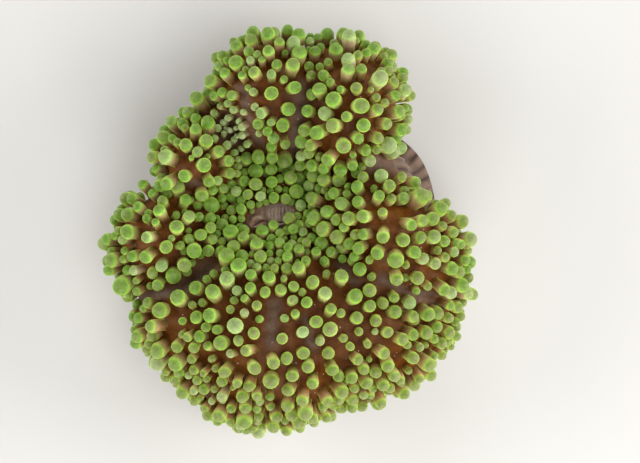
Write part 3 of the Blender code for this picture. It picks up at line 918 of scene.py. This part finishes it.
def tentacle_on_disc(root, is_landmark, chance):
    """Tentacles lean up, in towards the mouth on the inner slopes and out on the outer ones."""
    direction, share, place, bead = root
    leaves = disc_normal(direction, share)
    away = Vector((place.x - MOUTH.x, place.y - MOUTH.y, 0)).normalized()
    sway = Vector([chance.gauss(0, LEAN_SWAY) for _ in range(3)])
    by_bead = min(1.0, STALK_BY_BEAD[0] + STALK_BY_BEAD[1] * bead / BEAD_FAR)
    stalk = STALK_NEAR + (STALK_FAR - STALK_NEAR) * share
    stalk *= chance.uniform(1 - STALK_SWAY, 1 + STALK_SWAY) * by_bead
    outwards = LEAN_OUT * max(-1.0, min(1.0, (share - LEAN_TURNS_AT) / LEAN_TURNS_OVER))
    upwards = LEAN_UP_NEAR + (LEAN_UP_FAR - LEAN_UP_NEAR) * share**3
    if is_landmark:
        upwards += LANDMARK_LEAN_UP
    sideways = outwards * min(1.0, share / LEAN_STARTS_OVER) * away
    lean = leaves + sideways + upwards * Vector((0, 0, 1)) + sway
    return Tentacle(place, leaves, lean, stalk, bead)


tentacles = [tentacle_on_disc(root, number < len(LANDMARKS), chance)
             for number, root in enumerate(grove.roots)]
print("mean reach %.2f mm" % (sum(one.reach for one in tentacles) / len(tentacles) / MM))

# %% Two last rows round the edge, which reach outwards
EDGE_ROWS = (  # roll on the edge, upward tilt, spacing in bead radii
    ((0.0, 0.25), (0.7, 1.5), 1.9),
    ((0.3, 0.7), (0.1, 0.7), 2.0),
)
EDGE_BEADS = (0.48 * MM, 0.74 * MM)
EDGE_STALKS = (0.45 * MM, 0.85 * MM)
BARE_EDGE = (19, 11)  # direction and half angle in degrees
EDGE_STEP = 0.03  # in radians, to either side, to see which way the edge runs
for rolls, tilts, spacing in EDGE_ROWS:
    direction = 0.0
    while direction < 2 * pi:
        bead = chance.uniform(*EDGE_BEADS)
        if abs(turn_between(degrees(direction), BARE_EDGE[0])) > BARE_EDGE[1]:
            aside = edge_point(direction + EDGE_STEP, 0) - edge_point(direction - EDGE_STEP, 0)
            away = Vector((aside.y, -aside.x, 0)).normalized()
            lean = away + Vector((0, 0, chance.uniform(*tilts)))
            root = edge_point(direction, chance.uniform(*rolls))
            tentacles.append(Tentacle(root, away, lean, chance.uniform(*EDGE_STALKS), bead))
        direction += spacing * bead / disc_reach(direction)
print(len(tentacles) - len(grove.roots), "tentacles round the edge,", len(tentacles), "in all")

# %% [markdown]
# Leaning beads would run into each other. Live ones push their neighbours aside, and so do these:
# in each round every pair that overlaps moves apart, the smaller bead farther, while each stalk
# keeps about its length and the middle of each bead stays well off the skin.

# %% Let the beads push each other aside
PUSH_ROUNDS = 30
PUSH_SHARE = 0.5
TOUCHING = 0.985
REACH_RANGE = (0.8, 1.3)
CLEAR_OF_SKIN = 0.8  # how far off the skin the middle of a bead stays, in bead radii
largest = max(one.bead for one in tentacles)


def overlaps():
    """Every pair of beads that run into each other, and the shift that would part them."""
    tree = tree_of([one.head for one in tentacles])
    for index, one in enumerate(tentacles):
        for head, other, distance in tree.find_range(one.head, one.bead + largest):
            deep = TOUCHING * (one.bead + tentacles[other].bead) - distance
            if other > index and deep > 0 and distance > 0:
                yield index, other, (one.head - head) * (deep / distance)


def settle(one, push):
    arm = one.head + push * PUSH_SHARE - one.root
    low = CLEAR_OF_SKIN * one.bead - arm.dot(one.leaves)
    if low > 0:
        arm += one.leaves * low
    shortest, longest = (one.reach * share for share in REACH_RANGE)
    one.head = one.root + arm.normalized() * max(shortest, min(longest, arm.length))


for _ in range(PUSH_ROUNDS):
    pushes = [Vector() for _ in tentacles]
    for index, other, shift in overlaps():
        beads = tentacles[index].bead, tentacles[other].bead
        pushes[index] += shift * (beads[1] / sum(beads))
        pushes[other] -= shift * (beads[0] / sum(beads))
    for one, push in zip(tentacles, pushes):
        settle(one, push)
left_over = [shift.length / MM for _, _, shift in overlaps()]
print(len(left_over), "pairs still overlap, by at most %.2f mm" % max(left_over, default=0))

# %% Grow the tentacles of each lobe as one joined mesh
SECTORS = {  # first and last direction from the mouth in degrees
    "upper_right": (27, 77), "upper_left": (77, 122), "left": (122, 157), "west": (157, 220),
    "lower": (220, 291), "lower_right": (291, 338), "right": (338, 387),
}
CENTRE_RADIUS = 5.0 * MM
ROOTED = 0.12 * MM
PATCH_MARGIN = 0.06
OVALNESS = 0.06
LUMPINESS = 0.05
PALE_CHANCE = (-3.0, 0.4)  # below 0 counts as not pale
PALE_CLUSTER_SHARES = (0.2, 0.9)  # where the cluster ends, and more towards its middle
PALE_CLUSTER_SPREAD = (0.7, 1.1)
TINT_SPREAD = 0.8
WARM_LOW = (-11.0 * MM, 2.0 * MM, 0.6)  # y where it starts, over how far, and how strong
WARM_RIGHT = (5.0 * MM, 2.5 * MM, 0.35)  # the same for x
BEND_AT = 0.5  # of the stalk
LEAST_STALK = 0.2  # in bead radii
LEAST_NECK = 0.1  # of the way from the root to the middle of the bead


def sector_of(place):
    if from_mouth(place) < CENTRE_RADIUS:
        return "centre"
    angle = degrees(atan2(place.y - MOUTH.y, place.x - MOUTH.x)) % 360
    for name, (first, last) in SECTORS.items():
        if first <= angle < last or first <= angle + 360 < last:
            return name
    return None


def warmth(place):
    """Beads are yellower towards the lower edge, and a little towards the right."""
    low, low_over, low_strength = WARM_LOW
    right, right_over, right_strength = WARM_RIGHT
    return (low_strength * step_up(low - place.y, low_over)
            + right_strength * step_up(place.x - right, right_over))


def paleness(place, chance):
    """Most tentacles aren't pale; some are a little, and those of two patches all are."""
    clustered = in_pale_cluster(place)
    if clustered:
        at_end, more = PALE_CLUSTER_SHARES
        return min(1.0, at_end + more * clustered) * chance.uniform(*PALE_CLUSTER_SPREAD)
    if (place.xy - PALE_NOTCH).length < PALE_NOTCH_RADIUS:
        return PALE_NOTCH_SHARE
    return chance.uniform(*PALE_CHANCE)


def on_centre_line(one, height):
    """The middle of the tentacle at a height of the cage, and which way the tentacle runs there."""
    start = one.root - one.leaves * ROOTED
    arm = (one.head - start).length
    bend = start + one.leaves * (BEND_AT * max(arm - one.bead, LEAST_STALK * one.bead))
    neck = max(LEAST_NECK, 1 - one.bead / arm)
    run = height * neck if height <= 1 else neck + (height - 1) * (1 - neck)
    if height > 2:
        towards = (one.head - bend).normalized()
        return one.head + towards * ((height - 2) * one.bead), towards
    towards = (bend - start) * (1 - run) + (one.head - bend) * run
    middle = start * (1 - run) ** 2 + bend * (2 * run * (1 - run)) + one.head * run**2
    return middle, towards.normalized()


def add_tentacle(grown, one, corner_at, patches, chance):
    """Append the cage, bend it to one tentacle, and give it its own patch of the flat layout."""
    old_verts, old_faces = len(grown.verts), len(grown.faces)
    grown.from_mesh(cage_mesh)
    grown.verts.ensure_lookup_table()
    grown.faces.ensure_lookup_table()
    oval = chance.uniform(1 - OVALNESS, 1 + OVALNESS)
    pale = paleness(one.root, chance)
    tint = TINT_SPREAD * chance.random() + warmth(one.root)
    values = {"tint": min(1.0, tint), "pale": max(0.0, pale)}
    spin = Matrix.Rotation(chance.uniform(0, 2 * pi), 3, "Z")
    for vert in grown.verts[old_verts:]:
        height = vert.co.z
        middle, towards = on_centre_line(one, height)
        lump = 1 + LUMPINESS * noise.noise(Vector((vert.co.x, vert.co.y, height)) + one.root / MM)
        flat_place = spin @ Vector((vert.co.x * oval, vert.co.y / oval, 0)) * (one.bead * lump)
        vert.co = middle + towards.to_track_quat("Z", "Y") @ flat_place
        vert[grown.verts.layers.float["along"]] = cage_along(height)
        for name, value in values.items():
            vert[grown.verts.layers.float[name]] = value
    uv = grown.loops.layers.uv["OFBake"]
    for face in grown.faces[old_faces:]:
        for loop in face.loops:
            inside = (PATCH_MARGIN + (1 - 2 * PATCH_MARGIN) * value for value in loop[uv].uv)
            loop[uv].uv = [(corner + value) / patches for corner, value in zip(corner_at, inside)]


def grow(name, group):
    grown = bmesh.new()
    grown.loops.layers.uv.new("OFBake")
    grown.verts.layers.int.new("corner")
    for layer in ("along", "tint", "pale"):
        grown.verts.layers.float.new(layer)
    patches = int(sqrt(len(group))) + 1
    for number, one in enumerate(group):
        add_tentacle(grown, one, (number % patches, number // patches), patches, chance)
    thing = finish_mesh(grown, name)
    rounder = thing.modifiers.new("rounder", "SUBSURF")
    rounder.levels = rounder.render_levels = 1
    return thing


groups = {}
for one in tentacles:
    groups.setdefault(sector_of(one.root), []).append(one)
tentacle_pieces = []
for name, group in groups.items():
    piece = grow("tentacles_" + name, group)
    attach(piece, "root")
    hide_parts("peristome" if name == "centre" else "lobe_" + name)
    tentacle_pieces.append(piece)
    print(piece.name, len(group), "tentacles,", len(piece.data.polygons), "faces")

# %% [markdown]
# ## Finishes
#
# Live tissue is soft: light goes in, scatters, and comes out nearby. The Principled shader's
# subsurface values do that. Its colour isn't one colour either. A stalk starts rust brown at its
# root, pales to beige, and its bead has a lime shoulder round a deeper green tip. That bright lime
# band at the shoulder is partly the bead's own colour and partly a painted highlight for the glow
# of its rim. Each point of a tentacle therefore carries how far along it lies, and a colour ramp
# reads that value. Mottling is needed on every finish, so it is built once, as a node group.

# %% Small helpers for colours and nodes
def tone(red, green, blue):
    """A colour as on a paint card, 0 to 255, turned into the linear values that shaders use."""
    parts = [value / 255 for value in (red, green, blue)]
    linear = [part / 12.92 if part <= 0.04045 else ((part + 0.055) / 1.055) ** 2.4
              for part in parts]
    return (*linear, 1.0)


def set_inputs(tree, node, inputs):
    """Set a node's inputs to values, or join them to outputs."""
    for name, value in inputs.items():
        if isinstance(value, bpy.types.NodeSocket):
            tree.links.new(value, node.inputs[name])
        else:
            node.inputs[name].default_value = value


def add_node(tree, kind, inputs, **settings):
    made = tree.nodes.new(kind)
    for name, value in settings.items():
        setattr(made, name, value)
    set_inputs(tree, made, inputs)
    return made


def mixed(tree, factor, first, second, blend="MIX"):
    """The colour output of a Mix node; each input is a socket or a colour."""
    return add_node(tree, "ShaderNodeMix", {0: factor, 6: first, 7: second},
                    data_type="RGBA", blend_type=blend).outputs[2]


def ramp(tree, value, stops):
    """A colour ramp over a value; stops are (place, colour)."""
    made = add_node(tree, "ShaderNodeValToRGB", {"Fac": value})
    stripe = made.color_ramp.elements
    while len(stripe) > 1:
        stripe.remove(stripe[-1])
    stripe[0].position, stripe[0].color = stops[0]
    for place, colour in stops[1:]:
        stripe.new(place).color = colour
    return made.outputs["Color"]


def attribute(tree, name):
    return add_node(tree, "ShaderNodeAttribute", {}, attribute_name=name).outputs["Fac"]


def place_on_object(tree):
    return tree.nodes.new("ShaderNodeTexCoord").outputs["Object"]


print("lime is", [round(part, 2) for part in tone(150, 205, 90)[:3]])

# %% Mottling, shared by every finish
def build_mottling():
    """Soft blotches and fine grain: a mask round 0.5 for colour, and a height for bumps."""
    tree = bpy.data.node_groups.new("mottling", "ShaderNodeTree")
    for name, size in (("Blotches", 900.0), ("Grain", 5200.0), ("Grain Share", 0.4)):
        socket = tree.interface.new_socket(name, in_out="INPUT", socket_type="NodeSocketFloat")
        socket.default_value = size
    for name in ("Mask", "Height"):
        tree.interface.new_socket(name, in_out="OUTPUT", socket_type="NodeSocketFloat")
    given, out = tree.nodes.new("NodeGroupInput"), tree.nodes.new("NodeGroupOutput")
    where = place_on_object(tree)
    blotches = add_node(tree, "ShaderNodeTexNoise", {
        "Vector": where, "Scale": given.outputs["Blotches"], "Detail": 3.0, "Roughness": 0.6})
    grain = add_node(tree, "ShaderNodeTexNoise", {
        "Vector": where, "Scale": given.outputs["Grain"], "Detail": 2.0, "Roughness": 0.55})
    both = add_node(tree, "ShaderNodeMix", {
        0: given.outputs["Grain Share"], 2: blotches.outputs["Fac"], 3: grain.outputs["Fac"]})
    set_inputs(tree, out, {"Mask": both.outputs[0], "Height": grain.outputs["Fac"]})
    return tree


mottling = build_mottling()


def add_mottling(tree, blotches, grain, share):
    """Blotches and grains are counted to a metre; share is how much the grain shows in the mask."""
    made = add_node(tree, "ShaderNodeGroup", {
        "Blotches": blotches, "Grain": grain, "Grain Share": share}, node_tree=mottling)
    return made.outputs["Mask"], made.outputs["Height"]


print("mottling has", len(mottling.nodes), "nodes")

# %% The tentacles' finish
TISSUE = {  # light goes in and scatters, red the farthest
    "Subsurface Weight": 0.5, "Subsurface Radius": (1.0, 0.8, 0.45), "Subsurface Scale": 0.3 * MM,
}
TENTACLE_COLOURS_WITH_PAINTED_RIM = (  # height on the cage, the greener colour there and the more olive one
    (0.0, tone(98, 46, 10), tone(106, 52, 14)),
    (0.3, tone(112, 60, 18), tone(120, 66, 24)),
    (0.75, tone(134, 92, 46), tone(146, 102, 56)),
    (1.2, tone(168, 128, 92), tone(188, 138, 104)),
    (1.7, tone(190, 158, 122), tone(214, 168, 130)),
    (2.0, tone(186, 182, 118), tone(210, 190, 128)),
    # From 2.15 to 2.47 the lime shoulder: partly the bead's own colour, partly a painted highlight
    # for its glowing rim.
    (2.15, tone(184, 212, 108), tone(202, 214, 118)),
    (2.3, tone(182, 228, 98), tone(200, 226, 108)),
    (2.47, tone(166, 222, 86), tone(184, 216, 96)),
    (2.6, tone(138, 186, 68), tone(158, 186, 88)),
    (2.76, tone(126, 170, 62), tone(144, 168, 84)),
    (3.0, tone(122, 158, 64), tone(142, 152, 88)),
)


def start_material(name, inputs):
    """A material, its nodes, and its Principled shader with these inputs."""
    material = bpy.data.materials.new(name)
    material.use_nodes = True
    shader = material.node_tree.nodes["Principled BSDF"]
    set_inputs(material.node_tree, shader, inputs)
    return material, material.node_tree, shader


def colour_and_bump(tree, shader, colour, height, strength, distance):
    bumps = add_node(tree, "ShaderNodeBump", {
        "Strength": strength, "Distance": distance, "Height": height})
    set_inputs(tree, shader, {"Base Color": colour, "Normal": bumps.outputs["Normal"]})


def build_tentacle_finish():
    material, tree, shader = start_material("tentacle_skin", TISSUE | {
        "Roughness": 0.42, "Specular IOR Level": 0.3,
        "Sheen Weight": 1.0, "Sheen Roughness": 0.35, "Sheen Tint": tone(212, 252, 112)})
    along, tint, pale = (attribute(tree, name) for name in ("along", "tint", "pale"))
    green, olive = (
        ramp(tree, along, [(cage_along(row[0]), row[which]) for row in TENTACLE_COLOURS_WITH_PAINTED_RIM])
        for which in (1, 2))
    colour = mixed(tree, ramp(tree, tint, [(0.3, tone(0, 0, 0)), (1.0, tone(255, 255, 255))]),
                   green, olive)
    faded = ramp(tree, along, [
        (0.2, tone(160, 140, 118)), (0.55, tone(214, 212, 180)), (0.8, tone(240, 248, 214)),
        (1.0, tone(196, 214, 164))])
    colour = mixed(tree, pale, colour, faded)
    cloudy, _ = add_mottling(tree, blotches=620.0, grain=2400.0, share=0.3)
    clouds = ramp(tree, cloudy, [(0.5, tone(0, 0, 0)), (0.68, tone(150, 150, 150))])
    colour = mixed(tree, clouds, colour, tone(174, 176, 128))
    mask, height = add_mottling(tree, blotches=1500.0, grain=6000.0, share=0.5)
    shadow = ramp(tree, mask, [(0.32, tone(214, 208, 196)), (0.62, tone(255, 255, 255))])
    colour = mixed(tree, 1.0, colour, shadow, "MULTIPLY")
    colour_and_bump(tree, shader, colour, height, strength=0.25, distance=0.03 * MM)
    return material


tentacle_finish = build_tentacle_finish()
for piece in tentacle_pieces:
    piece.data.materials.append(tentacle_finish)
print("tentacle finish:", len(tentacle_finish.node_tree.nodes), "nodes")

# %% [markdown]
# The skin between the tentacles shows as dark rust, because the algae that live in it are brown and
# little light reaches it. Bare furrows are grey brown, and the lips are paler, with painted shade
# in the troughs of their fine pleats and a painted highlight on their crests. The column is a
# greyer brown, paler on the warts; its lengthwise folds carry painted shade in the grooves, and
# their pale crests are partly the skin's own pale lines and partly a painted highlight. The masks
# on the skin's points say where each of these lies, and how high each pleat and fold stands.

# %% The skin's finish
ORANGE_SPECK = Vector((-4.75, -0.6, 0.0)) * MM
SPECK_RADIUS = 0.12 * MM
GRAIN_CELLS = 1100.0  # to a metre
GRAIN_RADIUS = 0.075  # of a cell
SPOT_STRENGTH = 0.7
ROOT_STRENGTH = 0.6
FOLD_STRENGTH = 0.3


def math_node(tree, operation, first, second):
    return add_node(tree, "ShaderNodeMath", {0: first, 1: second}, operation=operation).outputs[0]


def pale_grains(tree):
    """1 on a few tiny grains that lie on the skin."""
    cells = add_node(tree, "ShaderNodeTexVoronoi", {
        "Vector": place_on_object(tree), "Scale": GRAIN_CELLS})
    return math_node(tree, "LESS_THAN", cells.outputs["Distance"], GRAIN_RADIUS)


def orange_speck(tree):
    """1 on one tiny speck in the round fold of the mouth."""
    flat_only = add_node(tree, "ShaderNodeVectorMath", {
        0: place_on_object(tree), 1: (1.0, 1.0, 0.0)}, operation="MULTIPLY")
    away = add_node(tree, "ShaderNodeVectorMath", {0: flat_only.outputs[0], 1: ORANGE_SPECK},
                    operation="DISTANCE")
    return math_node(tree, "LESS_THAN", away.outputs["Value"], SPECK_RADIUS)


def build_skin_finish():
    material, tree, shader = start_material("disc_skin", TISSUE | {
        "Roughness": 0.5, "Specular IOR Level": 0.2})
    mask, height = add_mottling(tree, blotches=700.0, grain=4200.0, share=0.35)
    lips, pleat, furrow, spot, root, column = (attribute(tree, name) for name in masks)
    ground = ramp(tree, mask, [
        (0.36, tone(94, 49, 9)), (0.52, tone(116, 69, 19)), (0.66, tone(128, 86, 40))])
    bare = ramp(tree, mask, [
        (0.36, tone(98, 75, 56)), (0.52, tone(116, 95, 80)), (0.68, tone(128, 112, 100))])
    colour = mixed(tree, furrow, ground, bare)
    spotted = math_node(tree, "MULTIPLY", spot, SPOT_STRENGTH)
    colour = mixed(tree, spotted, colour, tone(126, 78, 36))
    rooted = math_node(tree, "MULTIPLY", root, ROOT_STRENGTH)
    colour = mixed(tree, rooted, colour, tone(120, 66, 8))
    colour = mixed(tree, pale_grains(tree), colour, tone(222, 190, 176))
    # Column folds: painted shade in the grooves; the pale crests are partly the skin's own pale
    # lines and partly a painted highlight.
    wall = mixed(tree, pleat, tone(74, 54, 42), tone(142, 120, 104))
    wall = mixed(tree, spot, wall, tone(176, 154, 138))
    blotches = ramp(tree, mask, [(0.3, tone(205, 200, 200)), (0.7, tone(255, 252, 250))])
    wall = mixed(tree, 1.0, wall, blotches, "MULTIPLY")
    colour = mixed(tree, column, colour, wall)
    # Lip pleats: painted shade in the troughs and a painted highlight on the crests.
    lip = mixed(tree, pleat, tone(174, 150, 134), tone(222, 200, 188))
    lip = mixed(tree, math_node(tree, "MULTIPLY", spot, FOLD_STRENGTH), lip, tone(182, 132, 104))
    lip = mixed(tree, orange_speck(tree), lip, tone(214, 128, 48))
    colour = mixed(tree, lips, colour, mixed(tree, 1.0, lip, blotches, "MULTIPLY"))
    colour_and_bump(tree, shader, colour, height, strength=0.4, distance=0.05 * MM)
    return material


skin_finish = build_skin_finish()
skin.data.materials.append(skin_finish)
print("skin finish:", len(skin_finish.node_tree.nodes), "nodes")

# %% [markdown]
# ## The studio
#
# The model rests on a pale floor. A wide soft light hangs over it, and four stronger ones of the
# same width stand round it, so that the beads are lit at their rims. The camera looks straight
# down.

# %% Floor, lights and camera
FLOOR_HALF = 0.6
LIGHT_SIDE = 150 * MM
LIGHTS = {  # place in millimetres, power in watts
    "over": ((70, -60, 255), 0.23),
    "left": ((-230, 20, 100), 0.36),
    "right": ((230, 0, 100), 0.50),
    "front": ((0, -230, 110), 0.45),
    "back": ((0, 240, 100), 0.26),
}
ROOM_LIGHT = 0.12
AIM = Vector((1.0, -1.6, 9.0)) * MM
CAMERA_HEIGHT = 200 * MM
FIELD_WIDTH = 64 * MM
FIELD_LEVEL = 10 * MM


def look_at(thing, target):
    thing.rotation_euler = (target - thing.location).to_track_quat("-Z", "Y").to_euler()


floor_shape = bmesh.new()
bmesh.ops.create_grid(floor_shape, x_segments=1, y_segments=1, size=FLOOR_HALF)
floor = finish_mesh(floor_shape, "floor", smooth=False)
floor_finish, _, _ = start_material("floor_finish", {
    "Base Color": tone(222, 220, 216), "Roughness": 0.8})
floor.data.materials.append(floor_finish)

for name, (place, power) in LIGHTS.items():
    lamp = bpy.data.lights.new(name, "AREA")
    lamp.size, lamp.energy = LIGHT_SIDE, power
    light = add_object(name, lamp)
    light.location = Vector(place) * MM
    look_at(light, AIM)

world = bpy.data.worlds.new("soft_room")
world.use_nodes = True
set_inputs(world.node_tree, world.node_tree.nodes["Background"], {
    "Color": tone(255, 255, 255), "Strength": ROOM_LIGHT})
bpy.context.scene.world = world

lens = bpy.data.cameras.new("camera")
lens.sensor_width = 36
lens.lens = lens.sensor_width * (CAMERA_HEIGHT - FIELD_LEVEL) / FIELD_WIDTH
lens.clip_start, lens.clip_end = 0.005, 5
camera = add_object("camera", lens)
camera.location = (AIM.x, AIM.y, CAMERA_HEIGHT)
bpy.context.scene.camera = camera
bpy.context.scene.view_settings.view_transform = "Standard"
print("lens %.0f mm" % lens.lens)

# %% Bring the scene up to date and finish
bpy.context.view_layer.update()
